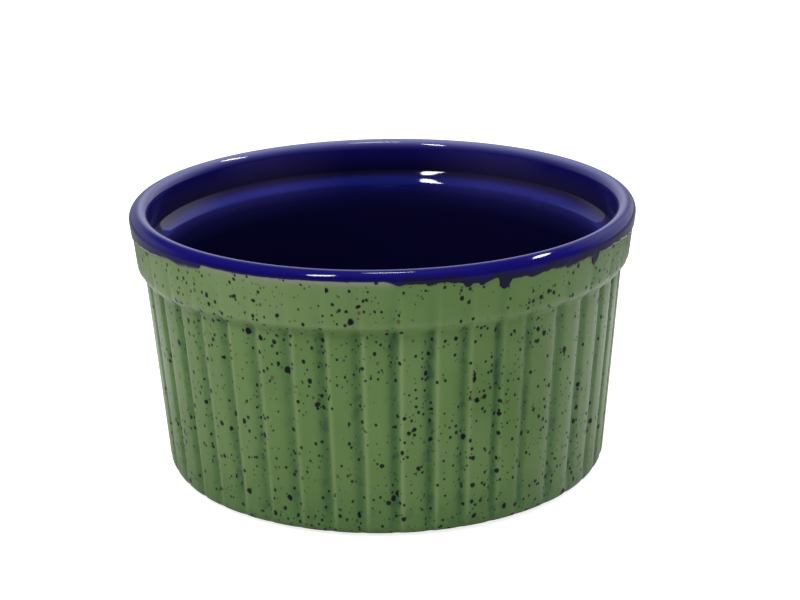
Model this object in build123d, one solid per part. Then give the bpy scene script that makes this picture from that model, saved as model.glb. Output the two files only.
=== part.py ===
from build123d import *
import os

# A fluted oven ramekin of glazed stoneware. It is one fired clay body that carries three glaze
# coats: a blue one inside and over the rim, a green one over the flutes, and one in the recess
# underneath. Each coat is a solid of its own that lies on the clay face to face.
# Millimetres. +Z is the axis of the cup and z = 0 is the table that the foot ring stands on.
# Azimuth 0 is the front, at -Y, and azimuth grows towards +X.

# Overall form, measured over the glaze.
rim_diameter = 90.0
height = 48.0

# Outside wall and collar. Radii are given by how far they lie inside the rim's, and heights by how
# far they lie below the rim's top. The collar is a band that stands out under the rim.
wall_inside_rim_at_table = 5.25
neck_inside_rim = 2.3
neck_below_top = 11.2
collar_inside_rim = 1.05
collar_step_height = 1.6

# Rim and inside of the cup. The rim is a full round, but for a narrow flat on its crown. The ledge
# is a narrow slope under the rim, on which the next cup of a stack would rest. Its two edges are
# inset from the rim's inner side.
rim_width = 3.4
rim_flat = 0.2
ledge_top_inset = 0.3
ledge_top_below_top = 6.7
ledge_foot_inset = 1.8
ledge_foot_below_top = 9.1
floor_height = 5.0
floor_corner_in_wall = 3.85
floor_round = 6.0

# Foot.
foot_chamfer = 1.7
foot_ring_width = 3.2
foot_recess_depth = 1.5
foot_recess_draft = 0.8

# Flutes: narrow grooves, evenly spaced, that leave broad ribs between them. They are V-shaped in
# the clay. The glaze pools in them, and its surface there is round and less deep.
flute_count = 44
first_groove_azimuth = 1.9
groove_radius = 1.3
groove_depth = 0.42
clay_groove_width = 1.6
glaze_pooling = 0.22

# Glaze coats. Where the glaze has a round, the clay under it has a chamfer, which is this share
# of the round.
coat = 0.4
underside_coat = 0.35
clay_chamfer_share = 0.62
bare_foot_height = 0.5
bare_recess_rim = 0.5

# The lap line, where the blue coat ends over the green one, lies below the top of the rim. The
# blue was wiped higher on one stretch, onto the round of the rim.
lap_below_rim = 3.5
wiped_from_azimuth = -41.0
wiped_to_azimuth = 2.0
wiped_rise = 1.6
# Runs of blue glaze that hang from the lap line: groove, counted from the front, width and drop.
glaze_runs = [
    (2, 1.5, 0.6),
    (3, 2.3, 1.6),
    (5, 1.6, 0.6),
    (6, 2.0, 1.3),
    (12, 2.2, 1.0),
    (16, 2.4, 0.8),
    (18, 2.4, 1.4),
    (22, 1.8, 0.8),
    (25, 2.4, 1.3),
    (28, 1.8, 0.7),
    (31, 2.4, 1.1),
]

# How far a cutting shape passes the surface that it cuts.
overrun = 2.0

rim_radius = rim_diameter / 2
inner_rim_radius = rim_radius - rim_width
rim_round = (rim_width - rim_flat) / 2
rim_bulge_height = height - rim_width / 2
neck_radius = rim_radius - neck_inside_rim
neck_height = height - neck_below_top
collar_radius = rim_radius - collar_inside_rim
collar_height = neck_height + collar_step_height
ledge_top_radius = inner_rim_radius - ledge_top_inset
ledge_top_height = height - ledge_top_below_top
ledge_foot_radius = inner_rim_radius - ledge_foot_inset
ledge_foot_height = height - ledge_foot_below_top
wall_radius_at_table = rim_radius - wall_inside_rim_at_table
floor_corner_radius = wall_radius_at_table - floor_corner_in_wall
wall_flare = (neck_radius - wall_radius_at_table) / neck_height
foot_ring_outer = wall_radius_at_table - foot_chamfer
flute_pitch = 360 / flute_count


def in_plane(points):
    """Radius and height pairs as points of the XZ plane, where X is the radius."""
    return [(radius, 0, z) for radius, z in points]


def turned(outline):
    """A closed outline of edges in the XZ plane, turned once round the axis."""
    return revolve(make_face(outline.edges()), axis=Axis.Z)


def section_corners(inset):
    """The corners of the cup's section, drawn in by an inset from the glazed surface.

    They run from the middle of the floor over the rim to the middle of the foot. Each has its
    radius, its height and the round that the glaze has there, or 0 where it stays crisp.
    """
    return [
        (0, floor_height - inset, 0),
        (floor_corner_radius + inset, floor_height - inset, floor_round),
        (ledge_foot_radius + inset, ledge_foot_height, 0),
        (ledge_top_radius + inset, ledge_top_height, 0),
        (inner_rim_radius + inset, rim_bulge_height, 0),
        (inner_rim_radius + inset, height - inset, rim_round),
        (rim_radius - inset, height - inset, rim_round),
        (rim_radius - inset, rim_bulge_height, 0),
        (collar_radius - inset, collar_height, 0),
        (neck_radius - inset, neck_height, 0),
        (wall_radius_at_table + wall_flare * foot_chamfer - inset, foot_chamfer, 0),
        (foot_ring_outer - inset, 0, 0),
        (0, 0, 0),
    ]


def glazed_blank():
    """The turned cup out to the surface of its glaze, without flutes."""
    corners = section_corners(0)
    points = in_plane([(radius, z) for radius, z, glaze_round in corners])
    rounds = [glaze_round for radius, z, glaze_round in corners]
    profile = FilletPolyline(*points, radius=rounds[1:-1])
    return turned(profile + Line(points[-1], points[0]))


def chamfered(before, corner, after, cut):
    """The two points that a chamfer puts in place of a corner, each a cut away from it."""
    here = Vector(*corner)
    back = (Vector(*before) - here).normalized()
    onward = (Vector(*after) - here).normalized()
    return [here + back * cut, here + onward * cut]


def clay_blank():
    """The turned clay, without flutes, with chamfers under the rounds of the glaze."""
    corners = section_corners(coat)
    points = in_plane([(radius, z) for radius, z, glaze_round in corners])
    outline = [points[0]]
    for place in range(1, len(points) - 1):
        cut = clay_chamfer_share * corners[place][2]
        if cut:
            outline += chamfered(points[place - 1], points[place], points[place + 1], cut)
        else:
            outline.append(points[place])
    return turned(Polyline(*outline, points[-1], close=True))


def groove_cutter(section, bottom_radius):
    """A bar along the wall whose section touches the bottom of a groove at the table's level.

    It runs from below the table to the underside of the collar.
    """
    low, high = in_plane([
        (bottom_radius - overrun * wall_flare, -overrun),
        (bottom_radius + neck_height * wall_flare, neck_height),
    ])
    along = Vector(high) - Vector(low)
    return extrude(Plane(origin=low, x_dir=(0, 1, 0), z_dir=along) * section, along.length)


def all_round(cutter):
    """A cutter at every flute of the cup."""
    azimuths = [first_groove_azimuth + step * flute_pitch for step in range(flute_count)]
    return [Rot(0, 0, azimuth - 90) * cutter for azimuth in azimuths]


def glazed_flutes():
    """The grooves as the glaze shows them, with round bottoms."""
    section = Pos(0, -groove_radius) * Circle(groove_radius)
    return all_round(groove_cutter(section, wall_radius_at_table - groove_depth))


def clay_flutes():
    """The grooves in the clay, cut as a V and deeper by what the glaze fills."""
    depth = groove_depth + glaze_pooling
    half_width = clay_groove_width / 2 * (depth + overrun) / depth
    back = -depth - overrun
    section = make_face(Polyline((0, 0), (half_width, back), (-half_width, back), close=True))
    return all_round(groove_cutter(section, wall_radius_at_table - coat - depth))


def foot_recess(inset):
    """The shallow recess inside the foot ring, with sides that draft inwards."""
    ring_inner = foot_ring_outer - coat - foot_ring_width
    top = foot_recess_depth - inset
    slope = foot_recess_draft / foot_recess_depth
    outline = in_plane([
        (0, -overrun),
        (ring_inner + overrun * slope - inset, -overrun),
        (ring_inner - top * slope - inset, top),
        (0, top),
    ])
    return turned(Polyline(*outline, close=True))


def ring_of_space(inner_low, inner_high, low, high, start, sweep):
    """A stretch of a ring, wide enough to hold the coat outside the clay's middle."""
    beyond = rim_radius + overrun
    outline = in_plane([(inner_low, low), (beyond, low), (beyond, high), (inner_high, high)])
    section = make_face(Polyline(*outline, close=True))
    return Rot(0, 0, start - 90) * revolve(section, axis=Axis.Z, revolution_arc=sweep)


def glaze_run(groove, width, drop):
    """A tongue of space that hangs from the lap line over one groove, with a round end."""
    round_end = Pos(0, width / 2 - drop) * Circle(width / 2)
    stem_height = wiped_rise + overrun + drop
    stem = Pos(0, width / 2 - drop) * Rectangle(width, stem_height, align=(Align.CENTER, Align.MIN))
    start = (0, -inner_rim_radius - 2 * coat, height - lap_below_rim)
    facing = Plane(origin=start, x_dir=(1, 0, 0), z_dir=(0, -1, 0))
    tongue = extrude(facing * (round_end + stem), rim_width + overrun)
    return Rot(0, 0, first_groove_azimuth + groove * flute_pitch) * tongue


def green_zone():
    """The ring of space that the green coat fills, under the lap line and above the bare foot."""
    in_wall = (foot_ring_outer + floor_corner_radius) / 2
    in_rim = inner_rim_radius + 2 * coat
    lap = height - lap_below_rim
    stretch = wiped_to_azimuth - wiped_from_azimuth
    zone = ring_of_space(in_wall, in_rim, bare_foot_height, lap, 0, 360)
    zone += ring_of_space(in_rim, in_rim, lap, lap + wiped_rise, wiped_from_azimuth, stretch)
    return zone - [glaze_run(groove, width, drop) for groove, width, drop in glaze_runs]


def space_above(z):
    """Everything around the cup that is higher than z."""
    reach = rim_diameter + overrun
    block = Box(reach, reach, height, align=(Align.CENTER, Align.CENTER, Align.MIN))
    return Pos(0, 0, z) * block


def clay_body():
    """The fired clay: bare at the foot ring, under glaze everywhere else."""
    return clay_blank() - clay_flutes() - foot_recess(0)


def coats(clay):
    """The blue and the green coat, parted at the lap line."""
    glazed = glazed_blank() - glazed_flutes() - foot_recess(0)
    skin = (glazed - clay) & space_above(bare_foot_height)
    zone = green_zone()
    return skin - zone, skin & zone


def underside_glaze():
    """The coat on the recess under the floor, wiped back from the foot ring."""
    lining = foot_recess(0) - foot_recess(underside_coat)
    return lining & space_above(bare_recess_rim)


def write(name, shape):
    """One STEP file for one piece."""
    solids = shape.solids()
    print(name, "solids", len(solids), "volume", round(sum(solid.volume for solid in solids), 1))
    export_step(shape, "parts/" + name + ".step")


def main():
    os.makedirs("parts", exist_ok=True)
    clay = clay_body()
    liner, outer = coats(clay)
    write("stoneware_body", clay)
    write("liner_glaze", liner)
    write("outer_glaze", outer)
    write("underside_glaze", underside_glaze())


main()
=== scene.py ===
import bpy
import numpy as np
from math import cos, pi, radians, sin
from mathutils import Matrix, Vector


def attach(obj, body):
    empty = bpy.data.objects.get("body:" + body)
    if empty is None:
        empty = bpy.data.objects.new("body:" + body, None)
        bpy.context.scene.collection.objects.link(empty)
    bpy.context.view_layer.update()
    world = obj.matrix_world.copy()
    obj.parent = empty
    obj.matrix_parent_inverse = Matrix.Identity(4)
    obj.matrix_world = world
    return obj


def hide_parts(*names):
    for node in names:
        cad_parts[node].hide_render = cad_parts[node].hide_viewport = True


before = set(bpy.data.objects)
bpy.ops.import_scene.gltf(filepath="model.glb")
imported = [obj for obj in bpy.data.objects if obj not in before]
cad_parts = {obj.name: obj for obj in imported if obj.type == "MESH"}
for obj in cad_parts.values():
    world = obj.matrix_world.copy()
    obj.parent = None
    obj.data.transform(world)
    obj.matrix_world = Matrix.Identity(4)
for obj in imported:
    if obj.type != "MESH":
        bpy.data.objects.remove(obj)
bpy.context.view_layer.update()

# The looks of a fluted ramekin: glazed surfaces over a clay body, on a pale floor.
# Lengths are in millimetres here and become metres where a mesh is made. Azimuth 0 is the front,
# at -Y, and azimuth grows towards +X, as in the part's frame.

MM = 0.001

# Form of the cup, over its glaze. A pair is a radius and a height.
rim_radius = 45.0
height = 48.0
rim_half_width = 1.7
wall_radius_at_table = 39.75
foot_round = 2.2
neck = (42.7, 36.8)
neck_round = 0.5
collar_corner = (43.95, 38.4)
collar_round = 1.2
collar_top = (44.8, 46.3)
floor_corner = (35.9, 5.0)
floor_round = 6.0
foot_ring_inner = 34.45
recess_depth = 1.5
recess_draft = 0.8
# The ledge falls in a gentle wave that is flattest in its middle: radius, height, round.
ledge = [
    (41.42, 42.05, 0.5), (41.045, 41.548, 8.0), (40.69, 41.127, 8.0), (40.4, 40.798, 8.0),
    (40.046, 40.377, 8.0), (39.6, 39.77, 1.3),
]
# The crease under the collar and the collar's edge lie higher on the right, by up to the tilt.
collar_tilt = 0.45
collar_tilt_reach = 7.0

# Glaze. The blue goes up from the lap line over the green, which ends on the rim's round.
coat = 0.4
recess_coat_thickness = 0.35
blue_thickness = 0.2
blue_edge_height = 0.4
bare_foot_height = 0.5
lap_ends_turn = radians(30)

# Flutes. A groove keeps a share of its depth at the foot. It deepens over the foot, changes to the
# collar's faint depth and fades towards the rim, each between two heights.
flute_count = 44
first_groove = radians(1.9)
pitch = 2 * pi / flute_count
groove_half_width = 1.25
groove_depth = 0.42
collar_groove_depth = 0.13
rib_crown = 0.1
foot_depth_share = 0.3
foot_fade = (1.0, 5.5)
collar_change = (36.6, 37.8)
collar_fade = (46.5, 38.5)

# Meshes: columns round the cup, lengths along the section between rows, and turns between rows on
# its rounds.
columns = 880
azimuths = np.arange(columns) * 2 * pi / columns
green_step = 0.75
blue_step, blue_turn = 5.0, 0.13
blue_hidden_step, blue_hidden_turn = 14.0, 0.5
blue_band_rows = 20
clay_step, clay_turn = 3.0, 0.4
clay_flutes_step = 1.4
rim_points = 25
under_blue_points = 6
under_rim_points = 7
clay_rim_points = 9

# How far the grooves stray from even spacing, in shares of it, by azimuth in degrees.
groove_wander = [
    (-150, -0.05), (-120, 0.06), (-90, 0.0), (-62, 0.06), (-54, 0.13), (-46, 0.07), (-38, 0.08),
    (-30, 0.04), (-14, 0.04), (-6, 0.0), (10, 0.0), (18, -0.07), (26, -0.08), (34, -0.12),
    (43, 0.02), (52, 0.1), (61, 0.16), (69, 0.08), (90, -0.05), (120, 0.05), (150, -0.03),
]
# Heights of the lap line of the blue glaze by azimuth in degrees. It was wiped higher, and
# evenly, from -41.5 to 1.5 degrees.
lap_line = [
    (-170, 44.6), (-140, 44.2), (-110, 44.8), (-80, 43.5), (-70, 44.5), (-60, 44.8), (-53, 45.4),
    (-49, 45.1), (-42, 45.7), (-41.4, 46.35), (-30, 46.3), (-15, 46.5), (0, 46.55), (1.2, 46.3),
    (2.2, 45.95), (14, 45.8), (20, 45.0), (23.4, 45.5), (28, 45.05), (33, 44.7), (38, 45.15),
    (43, 44.7), (48, 44.9), (64, 45.0), (73, 44.3), (90, 44.2), (120, 44.7), (150, 44.3),
]
wiped = (-41.5, 1.5)
wiped_end_width = 1.5
# Runs that hang from the lap line: azimuth in degrees, half width and drop in millimetres.
runs = [
    (-105, 1.3, 1.2), (-131, 0.9, 0.8), (-158, 1.2, 1.5), (17.3, 0.7, 0.7), (20.3, 0.5, 0.3),
    (25.6, 1.15, 1.75), (42.2, 0.5, 0.4), (51.8, 1.0, 1.6), (97, 1.1, 1.2), (118, 0.8, 0.7),
    (147, 1.3, 1.6), (171, 0.9, 0.9),
]
# Waves round the cup, each with its height, its count and its phase: in the depth of the grooves,
# in the lap line, and in how far up the dull overlap of the two glazes reaches.
depth_waves = [(0.18, 5, 1.3), (0.12, 17, 0)]
ragged_waves = [(0.085, 61, 1), (0.068, 97, 0), (0.051, 163, 2)]
overlap_waves = [(0.12, 9, 1), (0.1, 31, 0)]

# Shares of the glaze beside a groove, by distance from its middle. The shoulder with the painted
# highlight lies at its distance and fades by its widths, beyond it and before it. The pool, with
# painted shade on its slow side, fades on the steep and on the slow side by a reach and a power. The
# side with the painted highlight changes over between azimuths in degrees, as the light falls.
shoulder_distance = 1.1
shoulder_widths = (0.42, 0.22)
pool_falls = ((0.85, 0.8), (2.4, 1.6))
sides_change = (44, 16)
sides_change_behind = (-180, -134.16)

# Green glaze. Its pools are fainter away from the front, under the painted sheen of the sides. It has
# painted light on the left and a painted grey sheen on the right, with a streak of painted sheen on
# each rib. These change between two azimuths in degrees.
pools_fade = (52, 72)
light_left = (12, -23)
sheen_right = (30, 55)
sheen_right_ends = (120, 90)
# The painted shade in the crease under the collar and the painted highlight on the collar's edge share a
# width. The green is darker towards the foot, up to a height.
crease_width = 0.5
foot_dark_height = 9.0
streak_place, streak_width = -1.65, 0.75
thin_width = 0.75

# Blue glaze over the green. The dull overlap is strong between two changes on the right and fainter
# past one on the left. It grows from nothing to full between two shares of its reach.
overlap_right = ((1, 5), (84, 74))
overlap_left = (-44, -50)
overlap_fall = (1.75, 0.65)
dark_edge_height = 1.8
# Painted sheen on the rim's round, a pale stretch: its turn from the outer side and its widths before
# and after that, in degrees.
rim_sheen_turn = 102
rim_sheen_widths = (16, 38)

# Bands on the inside wall, as heights: the painted highlight on the crest of the ledge, with its
# widths below and above, the painted reflection, dark and brown, in the hollow over the ledge, and
# where the wall turns near black. The painted sheen of the inside wall is left out at the very back,
# and high on the wall from the sides to the front.
crest_height = 40.2
crest_widths = (0.8, 0.6)
hollow_height, hollow_width = 42.15, 1.05
deep_change = (39.9, 37.4)
inner_sheen_back = (170, 150)
inner_sheen_sides = (140, 130)
inner_sheen_heights = (43.3, 44.1)

# Spots of the green glaze, in the order they are laid: spots per metre, least and largest radius
# in shares of their spacing, share of places with a spot, softness, bend in metres, strength and
# colour. The first are rusty and the rest navy.
spot_kinds = [
    (480.0, 0.16, 0.21, 0.5, 0.45, 0.0003, 0.65, (76, 66, 22)),
    (1100.0, 0.2, 0.3, 0.8, 0.5, 0.0002, 0.7, (30, 50, 36)),
    (760.0, 0.2, 0.28, 1.2, 0.4, 0.0002, 0.95, (14, 28, 26)),
    (450.0, 0.16, 0.23, 1.0, 0.35, 0.0004, 0.96, (8, 12, 24)),
    (285.0, 0.14, 0.19, 0.6, 0.3, 0.0006, 1.0, (6, 5, 24)),
    (165.0, 0.11, 0.155, 0.3, 0.25, 0.0008, 1.0, (6, 3, 26)),
]

# Lamps: azimuth and elevation in degrees, distance from the rim, size, and power in watts.
lamps = {
    "left": (-38, 56, 750, (100, 230), 2.2),
    "top": (172, 82, 250, (48, 32), 0.093),
    "right": (120, 52, 2200, (1050, 180), 13),
}
lamp_target = (0, 0, 40)

# The camera of the photograph, fitted to the outlines of the rim, the wall and the base.
camera_place = (0, -331.62, 139.61)
focal_length = 86.62
camera_turn, camera_look_down, camera_roll = radians(-0.495), radians(18.52), radians(-0.949)


def colour(red, green, blue):
    """A display colour, 0 to 255 a channel, as the linear colour that a shader takes."""
    shares = np.array([red, green, blue]) / 255
    linear = np.where(shares > 0.04045, ((shares + 0.055) / 1.055) ** 2.4, shares / 12.92)
    return (*linear.tolist(), 1.0)


def rise(value, start, end):
    """0 on the start's side and 1 on the end's, in a straight line between the two."""
    return np.clip((value - start) / (end - start), 0, 1)


def bell(value, middle, width, power=2):
    """1 at the middle, falling as exp(-(distance / width) ** power) to both sides."""
    return np.exp(-np.abs((value - middle) / width) ** power)


def waves(azimuth, terms):
    """A sum of waves round the cup, each with its height, its count and its phase."""
    return sum(tall * np.sin(count * azimuth + phase) for tall, count, phase in terms)


def in_degrees(azimuth):
    """An azimuth in degrees, from -180 to 180, so that the left is negative."""
    return (np.degrees(azimuth) + 180) % 360 - 180


# Sections

def rounded_path(corners, step, turn_step=0.125):
    """Points along straight runs whose corners are arcs.

    Each corner is (radius, height, round). An arc of that round leaves both runs at the distance
    round * tan(turn / 2) from the corner, and has a point every turn_step radians.
    """
    points = [np.array(corners[0][:2], float)]
    for before, corner, after in zip(corners, corners[1:], corners[2:]):
        here = np.array(corner[:2], float)
        back = np.array(before[:2], float) - here
        onward = np.array(after[:2], float) - here
        back /= np.linalg.norm(back)
        onward /= np.linalg.norm(onward)
        turn = pi - np.arccos(np.clip(back @ onward, -1, 1))
        reach = corner[2] * np.tan(turn / 2)
        count = max(2, int(turn / turn_step) + 1)
        middle = here + (back + onward) / np.linalg.norm(back + onward) * corner[2] / cos(turn / 2)
        start, end = here + back * reach - middle, here + onward * reach - middle
        shares = np.linspace(0, 1, count)[:, None]
        arc = start * np.sin((1 - shares) * turn) + end * np.sin(shares * turn)
        points.extend(middle + arc / np.sin(turn) if corner[2] else [here])
    points.append(np.array(corners[-1][:2], float))
    filled = [points[0]]
    for point in points[1:]:
        count = max(1, int(np.ceil(np.linalg.norm(point - filled[-1]) / step)))
        start = filled[-1]
        filled.extend(start + (point - start) * share / count for share in range(1, count + 1))
    return np.array(filled)


def from_groove(azimuth, radius):
    """Distance along the surface from the middle of the nearest groove, in millimetres.

    The grooves were cut by hand, so their spacing wanders a little round the cup.
    """
    places, shifts = zip(*groove_wander)
    turns = (azimuth - first_groove) / pitch
    turns = turns - np.interp(np.degrees(azimuth), places, shifts, period=360)
    return (turns - np.round(turns)) * pitch * radius


def flute_depth(z, azimuth):
    """How deep the grooves are at a height.

    Full on the wall, a share of it at the foot, and faint on the collar, where they fade out
    towards the rim. Each flute has a slightly different depth.
    """
    on_wall = groove_depth * (foot_depth_share + (1 - foot_depth_share) * rise(z, *foot_fade))
    on_collar = collar_groove_depth * rise(z, *collar_fade)
    change = rise(z, *collar_change)
    return (1 + waves(azimuth, depth_waves)) * ((1 - change) * on_wall + change * on_collar)


def groove_share(azimuth, radius):
    """1 in the middle of a groove, falling as a raised cosine to 0 at its shoulders."""
    across = rise(np.abs(from_groove(azimuth, radius)), 0, groove_half_width)
    return 0.5 + 0.5 * np.cos(pi * across)


def pale_right(azimuth):
    """The share of the paleness beside a groove that is on its right.

    It is 1 in front and on the left of the cup, and 0 on the cup's right. The paleness is a painted
    highlight on the groove's side that faces the light, and painted shade lies on its other side.
    """
    degrees = in_degrees(azimuth)
    return rise(degrees, *sides_change) * rise(degrees, *sides_change_behind)


def shoulder_share(azimuth, radius):
    """1 on a rib's shoulder with painted highlight beside a groove, falling to 0 within a millimetre."""
    across = from_groove(azimuth, radius)
    left, right = (
        bell(side, shoulder_distance, np.where(side > shoulder_distance, *shoulder_widths))
        for side in (-across, across)
    )
    share = pale_right(azimuth)
    return share * right + (1 - share) * left


def pool_and_shade_share(azimuth, radius):
    """How thick the glaze lies: 1 in a groove, falling beside it as (1 - distance / reach) ** power.

    The fall is steep on the groove's side with the painted highlight and slow on its darker one,
    where the slow fall is painted shade.
    """
    across = from_groove(azimuth, radius)
    steep, slow = (rise(np.abs(across), reach, 0) ** power for reach, power in pool_falls)
    leans_left = np.where(across > 0, steep, slow)
    leans_right = np.where(across > 0, slow, steep)
    share = pale_right(azimuth)
    return share * leans_left + (1 - share) * leans_right


def crease_lift(azimuth):
    """How much higher than level the crease under the collar lies."""
    return collar_tilt * np.sin(azimuth)


def fluted(path, azimuth):
    """Radius and height grids of an outside section carried round the cup, with its flutes.

    radius = section - depth(height) * groove share - crown * (1 - distance / half rib) squared.
    The collar's edge lies a little higher on the right than on the left, as it was thrown.
    """
    radius = np.repeat(path[:, :1], len(azimuth), axis=1)
    z = np.repeat(path[:, 1:], len(azimuth), axis=1)
    z = z + crease_lift(azimuth) * rise(np.abs(z - neck[1]), collar_tilt_reach, 0)
    depth = flute_depth(path[:, 1:], azimuth)
    half_rib = pitch * neck[0] / 2
    across = np.abs(from_groove(azimuth, neck[0]))
    crown = rib_crown * depth / groove_depth * (1 - across / half_rib) ** 2
    return radius - depth * groove_share(azimuth, neck[0]) - crown, z


def plain_lap(azimuth):
    """Height of the lap line without its runs."""
    places, heights = zip(*lap_line)
    return np.interp(np.degrees(azimuth), places, heights, period=360)


def wiped_share(azimuth):
    """1 on the wiped stretch of the rim, 0 elsewhere, with soft ends."""
    degrees = in_degrees(azimuth)
    start, end = wiped
    half = wiped_end_width / 2
    return rise(degrees, start - half, start + half) * rise(degrees, end + half, end - half)


def lap_height(azimuth):
    """Height of the blue glaze's lower edge: the lap line, less its runs and a fine raggedness.

    A run is a tongue, drop * sqrt(1 - (distance / half width) squared). The line is nearly
    smooth on the wiped stretch and left of it.
    """
    degrees = in_degrees(azimuth)
    line = plain_lap(azimuth)
    drop = np.zeros_like(line)
    for place, half_width, fall in runs:
        across = (degrees - place + 180) % 360 - 180
        across = np.abs(np.radians(across) * rim_radius) / half_width
        drop = np.maximum(drop, fall * np.sqrt(np.clip(1 - across ** 2, 0, 1)))
    calm_where_wiped = 1 - 0.85 * wiped_share(azimuth)
    calm_on_left = 1 - 0.75 * rise(degrees, -44, -47)
    return line - drop + waves(azimuth, ragged_waves) * calm_where_wiped * calm_on_left


# Meshes

def on_cup(radius, z, azimuth):
    """Points of radius and height grids at their azimuths, in metres."""
    x = radius * np.sin(azimuth)
    y = -radius * np.cos(azimuth)
    return np.stack([x, y, np.broadcast_to(z, x.shape)], axis=-1) * MM


def skin(name, grid, values, poles, material):
    """A closed piece from a grid of rows and columns that go round the cup.

    Columns always close on themselves. Without poles the last row joins the first, and with them
    the first and last row each shrink to one point on the axis. Rows run so that the outward
    side is on the left of their direction.
    """
    rows, round_count = grid.shape[:2]
    number = np.arange(rows * round_count).reshape(rows, round_count)
    lower = number if not poles else number[:-1]
    upper = np.roll(number, -1, axis=0) if not poles else number[1:]
    quads = np.stack([lower, np.roll(lower, -1, axis=1), np.roll(upper, -1, axis=1), upper], axis=-1)
    points = grid.reshape(-1, 3)
    attributes = {key: value.reshape(-1) for key, value in values.items()}
    if poles:
        first, last = rows * round_count, rows * round_count + 1
        quads = quads[1:-1]
        top, bottom = number[1], number[-2]
        fan_top = np.stack([np.full(round_count, first), np.roll(top, -1), top], axis=-1)
        fan_bottom = np.stack([np.full(round_count, last), bottom, np.roll(bottom, -1)], axis=-1)
        ends = np.array([grid[0].mean(axis=0), grid[-1].mean(axis=0)])
        points = np.concatenate([points, ends])
        attributes = {
            key: np.concatenate([value, [value[0], value[-1]]]) for key, value in attributes.items()
        }
        fans = np.concatenate([fan_top, fan_bottom])
    else:
        fans = np.zeros((0, 3), int)
    quads = quads.reshape(-1, 4)
    corners = np.concatenate([quads.ravel(), fans.ravel()])
    used, corners = np.unique(corners, return_inverse=True)
    points = points[used]
    attributes = {key: value[used] for key, value in attributes.items()}
    sizes = np.concatenate([np.full(len(quads), 4), np.full(len(fans), 3)])
    mesh = bpy.data.meshes.new(name)
    mesh.vertices.add(len(points))
    mesh.vertices.foreach_set("co", points.ravel())
    mesh.loops.add(len(corners))
    mesh.loops.foreach_set("vertex_index", corners.astype(np.int32))
    mesh.polygons.add(len(sizes))
    starts = np.concatenate([[0], np.cumsum(sizes)[:-1]])
    mesh.polygons.foreach_set("loop_start", starts.astype(np.int32))
    mesh.polygons.foreach_set("use_smooth", np.ones(len(sizes), bool))
    mesh.update(calc_edges=True)
    for key, value in attributes.items():
        carried = mesh.attributes.new(key, "FLOAT", "POINT")
        carried.data.foreach_set("value", value.astype(np.float32))
    mesh.materials.append(material)
    piece = bpy.data.objects.new(name, mesh)
    bpy.context.scene.collection.objects.link(piece)
    return piece


# Material parts

def shader_tree(name):
    """A new material and its Principled BSDF."""
    material = bpy.data.materials.new(name)
    material.use_nodes = True
    return material, material.node_tree, material.node_tree.nodes["Principled BSDF"]


def fill(tree, socket, value):
    """Gives a socket a value, or links it to another node's output."""
    if isinstance(value, bpy.types.NodeSocket):
        tree.links.new(value, socket)
    else:
        socket.default_value = value


def add(tree, kind, settings=None, **inputs):
    """A node with its settings and inputs, which are named with _ for a space, or i and a number."""
    node = tree.nodes.new(kind)
    for key, value in (settings or {}).items():
        setattr(node, key, value)
    for key, value in inputs.items():
        place = key.replace("_", " ")
        fill(tree, node.inputs[int(place[1:]) if place[1:].isdigit() else place], value)
    return node


def maths(tree, operation, first, second=0.0, third=0.0):
    """The result of one Math node."""
    node = add(tree, "ShaderNodeMath", {"operation": operation}, i0=first, i1=second, i2=third)
    return node.outputs[0]


def times(tree, first, second):
    """The product of two values."""
    return maths(tree, "MULTIPLY", first, second)


def blend(tree, share, first, second):
    """Two colours blended by a share. A Mix node's colours are its inputs 6 and 7, and output 2."""
    node = add(tree, "ShaderNodeMix", {"data_type": "RGBA"}, i0=share, i6=first, i7=second)
    return node.outputs[2]


def ramp(tree, value, low, high):
    """A smooth step, 0 below low and 1 above high, or the other way round where low is the larger."""
    smooth = {"interpolation_type": "SMOOTHSTEP"}
    node = add(tree, "ShaderNodeMapRange", smooth, Value=value, From_Min=low, From_Max=high)
    return node.outputs[0]


def attribute(tree, name):
    """A value that the mesh carries."""
    return add(tree, "ShaderNodeAttribute", {"attribute_name": name}).outputs["Fac"]


def new_group(name, inputs, outputs):
    """An empty shader group with its sockets, and its two end nodes."""
    group = bpy.data.node_groups.new(name, "ShaderNodeTree")
    for label, kind, value in inputs:
        socket = group.interface.new_socket(label, in_out="INPUT", socket_type=kind)
        if value is not None:
            socket.default_value = value
    for label, kind in outputs:
        group.interface.new_socket(label, in_out="OUTPUT", socket_type=kind)
    return group, group.nodes.new("NodeGroupInput"), group.nodes.new("NodeGroupOutput")


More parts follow.
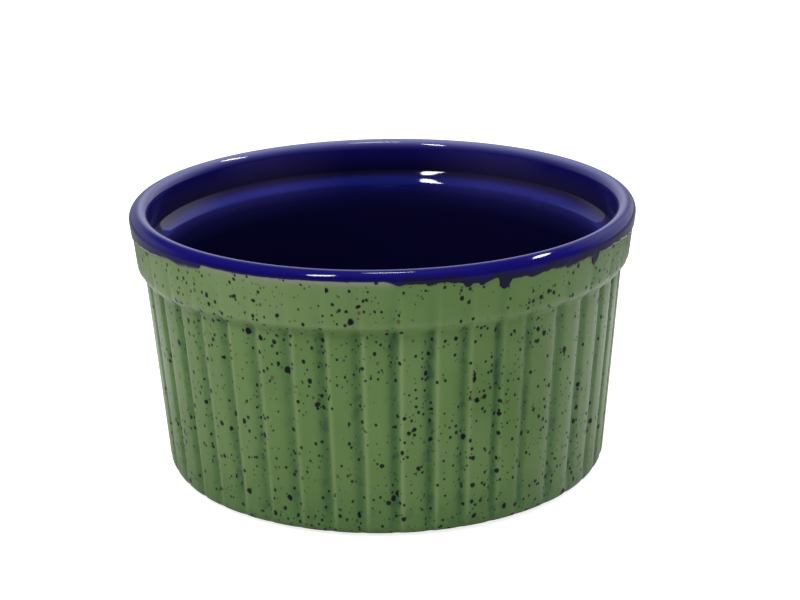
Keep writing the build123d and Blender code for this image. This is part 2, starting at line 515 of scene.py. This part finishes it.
def speckle_group():
    """Round spots of uneven size at random places.

    A spot is where the distance to a cell's point is under the cell's own radius, in the share
    of cells that has one. The share is larger in some places, so that the spots crowd there.
    Noise bends the outline, and the edge is soft.
    """
    number = "NodeSocketFloat"
    group, inlet, outlet = new_group(
        "Glaze speckle",
        [("Vector", "NodeSocketVector", None), ("Spots per Metre", number, 300.0),
         ("Largest", number, 0.3), ("Smallest", number, 0.1), ("Share", number, 0.5),
         ("Soft", number, 0.3), ("Bend", number, 0.0002)],
        [("Mask", number)],
    )
    given = inlet.outputs
    wobble = add(group, "ShaderNodeTexNoise", Vector=given["Vector"], Scale=900.0, Detail=1.0)
    centred = add(group, "ShaderNodeVectorMath", {"operation": "SUBTRACT"},
                  i0=wobble.outputs["Color"], i1=(0.5, 0.5, 0.5))
    bent = add(group, "ShaderNodeVectorMath", {"operation": "SCALE"},
               i0=centred.outputs[0], Scale=given["Bend"])
    moved = add(group, "ShaderNodeVectorMath", i0=given["Vector"], i1=bent.outputs[0])
    cells = add(group, "ShaderNodeTexVoronoi", Vector=moved.outputs[0], Scale=given["Spots per Metre"])
    chances = add(group, "ShaderNodeSeparateColor", Color=cells.outputs["Color"])
    crowd = add(group, "ShaderNodeTexNoise", Vector=given["Vector"], Scale=140.0, Detail=1.0)
    crowd = add(group, "ShaderNodeMapRange", Value=crowd.outputs["Fac"],
                From_Min=0.35, From_Max=0.65, To_Min=0.45, To_Max=1.5)
    share = times(group, given["Share"], crowd.outputs[0])
    present = maths(group, "LESS_THAN", chances.outputs["Red"], share)
    spread = maths(group, "SUBTRACT", given["Largest"], given["Smallest"])
    growth = maths(group, "POWER", chances.outputs["Green"], 1.6)
    radius = maths(group, "MULTIPLY_ADD", growth, spread, given["Smallest"])
    inner = times(group, radius, maths(group, "SUBTRACT", 1.0, given["Soft"]))
    mask = ramp(group, cells.outputs["Distance"], radius, inner)
    group.links.new(times(group, mask, present), outlet.inputs["Mask"])
    return group


def mottle_group():
    """Broad patches and fine grain of a fired surface, both as values round 0.5."""
    number = "NodeSocketFloat"
    group, inlet, outlet = new_group(
        "Glaze mottle",
        [("Vector", "NodeSocketVector", None), ("Broad", number, 60.0), ("Fine", number, 900.0)],
        [("Patch", number), ("Grain", number)],
    )
    given = inlet.outputs
    for size, detail, result in (("Broad", 3.0, "Patch"), ("Fine", 2.0, "Grain")):
        noise = add(group, "ShaderNodeTexNoise", Vector=given["Vector"], Scale=given[size], Detail=detail)
        group.links.new(noise.outputs["Fac"], outlet.inputs[result])
    return group


speckle = speckle_group()
mottle = mottle_group()


def placed_group(tree, group, **inputs):
    """A group in a material with its own values."""
    return add(tree, "ShaderNodeGroup", {"node_tree": group}, **inputs)


def surface_point(tree, stretch=(1.0, 1.0, 1.0)):
    """Object coordinates, with an optional stretch."""
    place = add(tree, "ShaderNodeTexCoord").outputs["Object"]
    if stretch == (1.0, 1.0, 1.0):
        return place
    return add(tree, "ShaderNodeMapping", Vector=place, Scale=stretch).outputs[0]


def bumped(tree, bsdf, surface_height, distance, strength):
    """A Bump node between a height and the shader's normal."""
    node = add(tree, "ShaderNodeBump", Height=surface_height, Distance=distance, Strength=strength)
    tree.links.new(node.outputs[0], bsdf.inputs["Normal"])


def speckled(tree, base, point, pool_and_shade):
    """A colour with the glaze's navy spots in five sizes and a few small rusty ones.

    The spots gather where the glaze pools, and here and there by chance.
    """
    chance = add(tree, "ShaderNodeTexNoise", Vector=point, Scale=170.0, Detail=2.0).outputs[0]
    chance = maths(tree, "MULTIPLY_ADD", ramp(tree, chance, 0.4, 0.62), 1.1, 0.5)
    gather = times(tree, maths(tree, "ADD", pool_and_shade, 0.8), chance)
    for per_metre, least, most, share, soft, bend, strength, tint in spot_kinds:
        spots = placed_group(
            tree, speckle, Vector=point, Spots_per_Metre=per_metre, Largest=most, Smallest=least,
            Share=times(tree, gather, share), Soft=soft, Bend=bend,
        ).outputs[0]
        base = blend(tree, times(tree, spots, strength), base, colour(*tint))
    return base


def laid(tree, base, layers):
    """A colour with layers over it, each a mask, the most that it covers, and its colour."""
    for mask, most, tint in layers:
        base = blend(tree, times(tree, mask, most), base, tint)
    return base


def green_glaze():
    """The satin green: with painted highlights on edges, deeper and bluer where it pools and where
    shade is painted, and a painted grey sheen on the right.
    """
    material, tree, bsdf = shader_tree("green_glaze")
    point = surface_point(tree)
    uneven = placed_group(tree, mottle, Vector=point, Broad=55.0, Fine=1100.0)
    patch = ramp(tree, uneven.outputs["Patch"], 0.35, 0.65)
    pool_and_shade = attribute(tree, "pool_and_shade")
    blot = add(tree, "ShaderNodeTexNoise", Vector=point, Scale=420.0, Detail=2.0).outputs["Fac"]
    blot = times(tree, ramp(tree, blot, 0.5, 0.68), pool_and_shade)
    base = laid(tree, blend(tree, patch, colour(94, 126, 67), colour(105, 135, 78)), [
        # Deeper and bluer where the glaze pools in the grooves, with painted shade beside them, in the
        # crease and darker towards the foot.
        (pool_and_shade, 0.7, colour(52, 98, 52)),
        (blot, 0.55, colour(34, 66, 58)),
        # Painted highlights on the ribs' shoulders and on the collar's edge, and painted light on the
        # left.
        (attribute(tree, "edge"), 0.42, colour(144, 163, 116)),
        # Painted grey sheen on the right.
        (attribute(tree, "painted_sheen"), 0.5, colour(150, 162, 146)),
        (attribute(tree, "thin"), 0.85, colour(140, 142, 126)),
    ])
    spots = surface_point(tree, (1.0, 1.0, 0.82))
    tree.links.new(speckled(tree, base, spots, pool_and_shade), bsdf.inputs["Base Color"])
    bsdf.inputs["Roughness"].default_value = 0.33
    bsdf.inputs["Specular IOR Level"].default_value = 0.3
    bumped(tree, bsdf, uneven.outputs["Grain"], 0.04 * MM, 0.5)
    return material


def blue_glaze():
    """The glossy blue: near black inside, brighter on the rim, dull where it laps the green, with
    painted highlight, reflection and sheen inside and painted sheen on the rim's round.
    """
    material, tree, bsdf = shader_tree("blue_glaze")
    point = surface_point(tree)
    uneven = placed_group(tree, mottle, Vector=point, Broad=70.0, Fine=700.0)
    level = add(tree, "ShaderNodeSeparateXYZ", Vector=point).outputs["Z"]
    inside = attribute(tree, "inside")
    inner_sheen = attribute(tree, "inner_sheen")
    starts, full = deep_change
    deep = times(tree, ramp(tree, level, starts * MM, full * MM), inside)
    # Colours of the painted dark reflection and of the painted highlight on the ledge, paler where the
    # sheen is painted.
    brown = blend(tree, inner_sheen, colour(10, 8, 26), colour(30, 26, 50))
    bright = blend(tree, inner_sheen, colour(18, 26, 104), colour(42, 46, 126))
    base = blend(tree, uneven.outputs["Patch"], colour(15, 10, 96), colour(22, 16, 110))
    base = laid(tree, base, [
        (attribute(tree, "edge"), 0.6, colour(8, 7, 60)),
        (inside, 0.9, colour(22, 18, 94)),
        # Painted sheen on the inside wall.
        (inner_sheen, 1.0, colour(44, 38, 106)),
        # Painted brown reflection in the hollow over the ledge.
        (attribute(tree, "hollow_reflection"), 0.9, brown),
        (deep, 1.0, colour(13, 10, 48)),
        # Painted highlight on the crest of the ledge.
        (attribute(tree, "crest_highlight"), 1.0, bright),
        (attribute(tree, "overlap"), 1.0, colour(24, 20, 52)),
        # Painted sheen on the rim's round.
        (attribute(tree, "rim_sheen"), 0.88, colour(122, 125, 168)),
    ])
    tree.links.new(base, bsdf.inputs["Base Color"])
    bsdf.inputs["Roughness"].default_value = 0.05
    bsdf.inputs["Specular IOR Level"].default_value = 0.32
    bumped(tree, bsdf, uneven.outputs["Patch"], 0.2 * MM, 0.12)
    return material


def fired_clay():
    """The bare stoneware of the foot ring: warm, matte, with grog in it, painted shadow by the glaze."""
    material, tree, bsdf = shader_tree("fired_clay")
    point = surface_point(tree)
    uneven = placed_group(tree, mottle, Vector=point, Broad=120.0, Fine=2500.0)
    grog = placed_group(tree, speckle, Vector=point, Spots_per_Metre=800.0, Largest=0.25,
                        Smallest=0.1, Share=0.3, Soft=0.5, Bend=0.0002).outputs[0]
    level = add(tree, "ShaderNodeSeparateXYZ", Vector=point).outputs["Z"]
    # Painted shadow: dark from 0.2 mm up, so the bare foot shows a dark line under the glaze.
    foot_shadow = ramp(tree, level, 0.03 * MM, 0.2 * MM)
    base = blend(tree, uneven.outputs["Patch"], colour(196, 178, 152), colour(170, 148, 120))
    base = laid(tree, base, [(grog, 0.6, colour(92, 72, 54)), (foot_shadow, 1.0, colour(58, 42, 32))])
    tree.links.new(base, bsdf.inputs["Base Color"])
    bsdf.inputs["Roughness"].default_value = 0.85
    bumped(tree, bsdf, uneven.outputs["Grain"], 0.1 * MM, 0.8)
    return material


# Pieces

def ride(piece, node):
    """Puts a piece in a CAD node's place on the part's one body."""
    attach(piece, "root")
    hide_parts(node)


def rim_round(radius, first_turn, last_turn, count):
    """Points of a circle round the middle of the rim, by their turn from the outer side."""
    turn = np.linspace(first_turn, last_turn, count)
    middle = np.array([rim_radius - rim_half_width, height - rim_half_width])
    return middle + radius * np.stack([np.cos(turn), np.sin(turn)], axis=-1)


def outside_path(step):
    """The outside section over the green glaze, from the foot ring to under the blue."""
    corners = [
        (foot_ring_inner, 0, 0), (wall_radius_at_table, 0, foot_round), (*neck, neck_round),
        (*collar_corner, collar_round), (*collar_top, 0),
    ]
    under_blue = rim_round(rim_half_width - blue_thickness, 0, lap_ends_turn, under_blue_points)
    return np.concatenate([rounded_path(corners, step), under_blue[1:]])


def inside_path(inset, step, turn_step):
    """The inside section from the rim's inner side down to the middle of the floor."""
    corners = [
        (rim_radius - 2 * rim_half_width + inset, height - rim_half_width, 0),
        *((radius + inset, z, bend) for radius, z, bend in ledge),
        (floor_corner[0] + inset, floor_corner[1] - inset, floor_round + inset),
        (0, floor_corner[1] - inset, 0),
    ]
    return rounded_path(corners, step, turn_step)


def all_round(path, azimuth):
    """A plain section carried round the cup, as radius and height grids."""
    return tuple(np.repeat(path[:, place, None], len(azimuth), axis=1) for place in (0, 1))


def stacked(*parts):
    """Radius and height grids of several stretches of one section, one after the other."""
    return tuple(np.concatenate(grids) for grids in zip(*parts))


def green_shares(z, depth):
    """What the green shader reads at each point, as shares from 0 to 1.

    pool_and_shade is where the glaze lies thick in the grooves, with painted shade on each groove's
    shaded side and in the crease under the collar, and darker towards the foot. edge is painted
    highlight on shoulders, where the glaze is also thin, and on the collar's edge, with painted light
    on the left. thin is the streak along the wiped lap line. painted_sheen is the painted grey sheen
    of the right side.
    """
    degrees = in_degrees(azimuths)
    lift = crease_lift(azimuths)
    crease = bell(z, neck[1] + lift, crease_width)
    corner = bell(z, collar_corner[1] + 0.1 + lift, crease_width)
    at_foot = rise(z, foot_dark_height, 0)
    faded = 1 - 0.6 * rise(np.abs(degrees), *pools_fade)
    # Pools in the grooves, with painted shade on each groove's shaded side and in the crease, darker
    # towards the foot, and fainter at the sides under the painted sheen.
    pool_and_shade = pool_and_shade_share(azimuths, neck[0]) * depth * faded + 0.12 * crease + 0.55 * at_foot
    far_left = rise(-np.sin(azimuths), 0.3, 0.8)
    on_collar = rise(z, neck[1] + 0.8, neck[1] + 2)
    # Painted highlight on shoulders, where the glaze is also thin, and on the collar's edge, stronger on
    # the left, and painted light on the left side.
    edge = shoulder_share(azimuths, neck[0]) * depth + (0.4 + 0.6 * far_left) * corner
    edge = edge + rise(degrees, *light_left) * (0.22 + 0.55 * on_collar)
    thin = bell(z, lap_height(azimuths), thin_width) * wiped_share(azimuths)
    # Painted grey sheen on the right: a streak on each rib, some all over and on the collar's edge.
    streak = depth * bell(from_groove(azimuths, neck[0]), streak_place, streak_width)
    painted_sheen = np.clip(rise(degrees, *sheen_right) * (0.3 + streak + 0.7 * corner), 0, 1)
    painted_sheen = painted_sheen * rise(degrees, *sheen_right_ends)
    return {"pool_and_shade": np.clip(pool_and_shade, 0, 1), "edge": np.clip(edge, 0, 1), "thin": thin, "painted_sheen": painted_sheen}


def green_coat(material):
    """The green coat: its fluted outside, and a plain inner side under it."""
    path = outside_path(green_step)
    path = path[path[:, 1] >= bare_foot_height]
    rolled_under = path[:1] - [0.12, 0.07]
    path = np.concatenate([rolled_under, path])
    outer = fluted(path, azimuths)
    inner = all_round(path[::-8] - [coat + 2 * groove_depth, 0], azimuths)
    values = green_shares(outer[1], flute_depth(path[:, 1:], azimuths) / groove_depth)
    hidden = np.zeros(inner[0].shape)
    values = {key: np.concatenate([value, hidden]) for key, value in values.items()}
    grid = on_cup(*stacked(outer, inner), azimuths)
    ride(skin("green_coat", grid, values, False, material), "outer_glaze")


def blue_band(count):
    """The outside band of the blue, as radius and height grids, from the lap line up.

    It stands a blue thickness proud of the green. Its lower edge is a quarter round,
    thickness * sqrt(1 - (1 - distance / edge height) squared).
    """
    middle, middle_height = rim_radius - rim_half_width, height - rim_half_width
    top = middle_height + rim_half_width * sin(lap_ends_turn)
    lap = lap_height(azimuths)
    shares = np.linspace(0, 1, count)[:, None] ** 1.5
    z = lap + (top - lap) * shares
    above = z - middle_height
    slope = (collar_top[0] - collar_corner[0]) / (collar_top[1] - collar_corner[1])
    under = rim_half_width - blue_thickness
    low = collar_top[0] + slope * above
    green = np.where(above < 0, low, middle + np.sqrt(np.clip(under ** 2 - above ** 2, 0, None)))
    full = middle + np.sqrt(np.clip(rim_half_width ** 2 - above ** 2, 0, None))
    full = np.where(above < 0, low + blue_thickness, full)
    edge = rise(z, lap + blue_edge_height, lap)
    flutes = flute_depth(z, azimuths) * groove_share(azimuths, neck[0])
    radius = green + (full - green) * np.sqrt(1 - edge ** 2) - flutes
    radius[0] -= blue_thickness / 4
    return radius, z


def overlap_share(above_line):
    """How far the green shows dull through the blue, by the height above the plain lap line.

    It reaches up unevenly. It is strong from the front to the right, and faint elsewhere.
    """
    degrees = in_degrees(azimuths)
    reach = 1 + waves(azimuths, overlap_waves) + 0.4 * rise(degrees, 35, 55)
    starts, ends = overlap_right
    right = rise(degrees, *starts) * rise(degrees, *ends)
    left = 0.35 * rise(degrees, *overlap_left)
    strength = np.clip(right + left + 0.3 * (right == 0), 0, 1) * (1 - wiped_share(azimuths))
    nothing, full = overlap_fall
    return rise(above_line, nothing * reach, full * reach) ** 1.3 * strength


def blue_shares(z, inner_side):
    """What the blue shader reads inside the cup, as shares from 0 to 1.

    crest_highlight is the painted highlight on the ledge, and hollow_reflection the painted brown
    reflection over it. inner_sheen is a painted paler sheen: low on the wall all round but for the very
    back, and higher up only beside the back.
    """
    away = np.abs(in_degrees(azimuths))
    side = np.abs(np.sin(azimuths))
    below, above = crest_widths
    inner_sheen = rise(away, *inner_sheen_back) * (1 - rise(away, *inner_sheen_sides) * rise(z, *inner_sheen_heights))
    return {
        "inside": inner_side,
        "inner_sheen": inner_sheen * inner_side,
        "crest_highlight": bell(z, crest_height, np.where(z < crest_height, below, above)) * inner_side,
        "hollow_reflection": bell(z, hollow_height + 0.45 * side, hollow_width + 0.5 * side, 4) * inner_side,
    }


def blue_coat(material):
    """The blue coat: the band over the collar, the rim's round, and the whole inside.

    Its rows start on the hidden side, under the floor, and end in the middle of the floor.
    """
    band = blue_band(blue_band_rows)
    rim_turns = np.linspace(lap_ends_turn, pi, rim_points)[1:-1, None]
    rim = rim_round(rim_half_width, lap_ends_turn, pi, rim_points)[1:-1]
    under_floor = inside_path(coat, blue_hidden_step, blue_hidden_turn)[::-1]
    under_rim = rim_round(rim_half_width - coat, pi, lap_ends_turn, under_rim_points)[1:]
    hidden = all_round(np.concatenate([under_floor, under_rim]), azimuths)
    tuck = (band[0][:1] - 2 * blue_thickness, band[1][:1] + blue_thickness)
    shown = all_round(np.concatenate([rim, inside_path(0, blue_step, blue_turn)]), azimuths)
    radius, z = stacked(hidden, tuck, band, shown)
    band_start = len(hidden[0]) + 1
    rim_start = band_start + len(band[0])
    inside_start = rim_start + len(rim)
    inner_side = np.zeros(radius.shape)
    inner_side[inside_start:] = 1
    values = blue_shares(z, inner_side)
    overlap, edge, rim_sheen = (np.zeros(radius.shape) for _ in range(3))
    overlap[band_start:rim_start] = overlap_share(band[1] - plain_lap(azimuths))
    edge[band_start:rim_start] = rise(band[1] - lap_height(azimuths), dark_edge_height, 0)
    # Painted sheen on the rim's round.
    widths = np.where(rim_turns < radians(rim_sheen_turn), *rim_sheen_widths)
    rim_sheen[rim_start:inside_start] = bell(np.degrees(rim_turns), rim_sheen_turn, widths)
    values.update({"overlap": overlap, "edge": edge, "rim_sheen": rim_sheen})
    grid = on_cup(radius, z, azimuths)
    ride(skin("blue_coat", grid, values, True, material), "liner_glaze")


def clay(material):
    """The clay under the coats, bare at the foot: recess, foot ring, wall, rim and inside."""
    some = azimuths[::2]
    recess = [
        (0, recess_depth, 0), (foot_ring_inner - recess_draft, recess_depth, 0.5),
        (foot_ring_inner, 0, 0.3), (foot_ring_inner + 1, 0, 0),
    ]
    below = all_round(rounded_path(recess, clay_step)[:-1], some)
    outer = outside_path(clay_flutes_step)[1:] - [coat, 0]
    outer[:, 1] = np.maximum(outer[:, 1], 0)
    outer = fluted(outer, some)
    over = rim_round(rim_half_width - coat, lap_ends_turn, pi, clay_rim_points)[1:]
    rest = all_round(np.concatenate([over, inside_path(coat, clay_step, clay_turn)[1:]]), some)
    grid = on_cup(*stacked(below, outer, rest), some)
    ride(skin("clay", grid, {}, True, material), "stoneware_body")


def recess_coat(material):
    """The coat in the recess: a thin skin with a round inner corner, wiped back from the ring."""
    some = azimuths[::2]
    wall = foot_ring_inner - recess_draft
    shown_height = recess_depth - recess_coat_thickness
    section = [
        (0, shown_height, 0), (wall - recess_coat_thickness, shown_height, 0.4),
        (wall + 0.15, 0.55, 0.1), (wall + 0.5, 0.5, 0.05), (wall, recess_depth, 0),
        (0, recess_depth, 0),
    ]
    grid = on_cup(*all_round(rounded_path(section, clay_step), some), some)
    values = dict.fromkeys(("pool_and_shade", "edge", "thin", "painted_sheen"), np.zeros(grid.shape[:2]))
    piece = skin("recess_coat", grid, values, True, material)
    ride(piece, "underside_glaze")


# Surroundings

def floor():
    """A pale floor that the camera sees as white.

    Gloss sees it dark in front of the cup and far from it, and bright close behind it.
    """
    half, level = 3.0, -0.02 * MM
    corners = [(x * half, y * half, level) for x, y in ((-1, -1), (1, -1), (1, 1), (-1, 1))]
    mesh = bpy.data.meshes.new("floor")
    mesh.from_pydata(corners, [], [(0, 1, 2, 3)])
    material, tree, bsdf = shader_tree("pale_floor")
    bsdf.inputs["Roughness"].default_value = 0.9
    bsdf.inputs["Specular IOR Level"].default_value = 0.0
    bsdf.inputs["Emission Color"].default_value = (1, 1, 1, 1)
    path = add(tree, "ShaderNodeLightPath").outputs
    point = surface_point(tree)
    axes = add(tree, "ShaderNodeSeparateXYZ", Vector=point)
    away = add(tree, "ShaderNodeVectorMath", {"operation": "LENGTH"}, i0=point).outputs["Value"]
    near, far = 0.1, 0.135
    front = ramp(tree, axes.outputs["Y"], 0.08, -0.08)
    behind = maths(tree, "SUBTRACT", 1.0, front)
    dark = maths(tree, "MAXIMUM", front, ramp(tree, away, near, far))
    dark = times(tree, times(tree, dark, path["Is Glossy Ray"]), 0.7)
    base = blend(tree, dark, (0.66, 0.66, 0.66, 1), (0.1, 0.1, 0.1, 1))
    tree.links.new(base, bsdf.inputs["Base Color"])
    close = times(tree, behind, ramp(tree, away, far, near))
    seen = times(tree, times(tree, close, path["Is Glossy Ray"]), 0.45)
    seen = maths(tree, "MULTIPLY_ADD", path["Is Camera Ray"], 0.8, seen)
    tree.links.new(seen, bsdf.inputs["Emission Strength"])
    mesh.materials.append(material)
    piece = bpy.data.objects.new("floor", mesh)
    bpy.context.scene.collection.objects.link(piece)


def around(azimuth, elevation, distance):
    """A place in millimetres by its direction in degrees and its distance from the rim."""
    turn, rise = radians(azimuth), radians(elevation)
    level = distance * cos(rise)
    return (level * sin(turn), -level * cos(turn), height + distance * sin(rise))


def lamp(name, place, target, size, power):
    """An oval lamp at a place in millimetres that faces a target."""
    data = bpy.data.lights.new(name, "AREA")
    data.shape = "ELLIPSE"
    data.size, data.size_y = size[0] * MM, size[1] * MM
    data.energy = power
    piece = bpy.data.objects.new(name, data)
    piece.location = Vector(place) * MM
    aim = Vector(target) * MM - piece.location
    piece.rotation_euler = aim.to_track_quat("-Z", "Y").to_euler()
    bpy.context.scene.collection.objects.link(piece)


def studio():
    """A soft surround that is bright low behind, with three lamps.

    Gloss sees the surround dark in front, where the camera stands, brightest behind on the right
    and faint straight overhead. The camera sees it white.
    """
    world = bpy.data.worlds.new("studio")
    world.use_nodes = True
    tree = world.node_tree
    direction = add(tree, "ShaderNodeTexCoord").outputs["Generated"]
    axes = add(tree, "ShaderNodeSeparateXYZ", Vector=direction).outputs
    behind = ramp(tree, axes["Y"], 0.0, 0.6)
    low = maths(tree, "MULTIPLY_ADD", ramp(tree, axes["Z"], 0.5, 0.28), 0.36, 0.02)
    right = times(tree, ramp(tree, axes["X"], 0.15, 0.45), ramp(tree, axes["Z"], 0.75, 0.5))
    bright = maths(tree, "MAXIMUM", low, times(tree, right, 0.72))
    overhead = times(tree, ramp(tree, axes["Z"], 0.85, 1.0), 0.15)
    glossy = maths(tree, "MAXIMUM", times(tree, behind, bright), overhead)
    glossy = maths(tree, "ADD", glossy, 0.06)
    path = add(tree, "ShaderNodeLightPath").outputs
    strength = add(tree, "ShaderNodeMix", i0=path["Is Glossy Ray"], i2=0.6, i3=glossy).outputs[0]
    strength = maths(tree, "MAXIMUM", strength, path["Is Camera Ray"])
    tree.links.new(strength, tree.nodes["Background"].inputs["Strength"])
    tree.nodes["Background"].inputs["Color"].default_value = (1, 1, 1, 1)
    bpy.context.scene.world = world
    for name, (azimuth, elevation, distance, size, power) in lamps.items():
        lamp(name, around(azimuth, elevation, distance), lamp_target, size, power)


def camera():
    """The camera of the photograph."""
    data = bpy.data.cameras.new("camera")
    data.sensor_width = 36.0
    data.lens = focal_length
    piece = bpy.data.objects.new("camera", data)
    facing = Matrix.Rotation(camera_turn, 4, "Z") @ Matrix.Rotation(pi / 2 - camera_look_down, 4, "X")
    facing = facing @ Matrix.Rotation(camera_roll, 4, "Z")
    piece.matrix_world = Matrix.Translation(Vector(camera_place) * MM) @ facing
    bpy.context.scene.collection.objects.link(piece)
    bpy.context.scene.camera = piece


green = green_glaze()
green_coat(green)
blue_coat(blue_glaze())
clay(fired_clay())
recess_coat(green)
floor()
studio()
camera()

bpy.context.scene.view_settings.view_transform = "Standard"
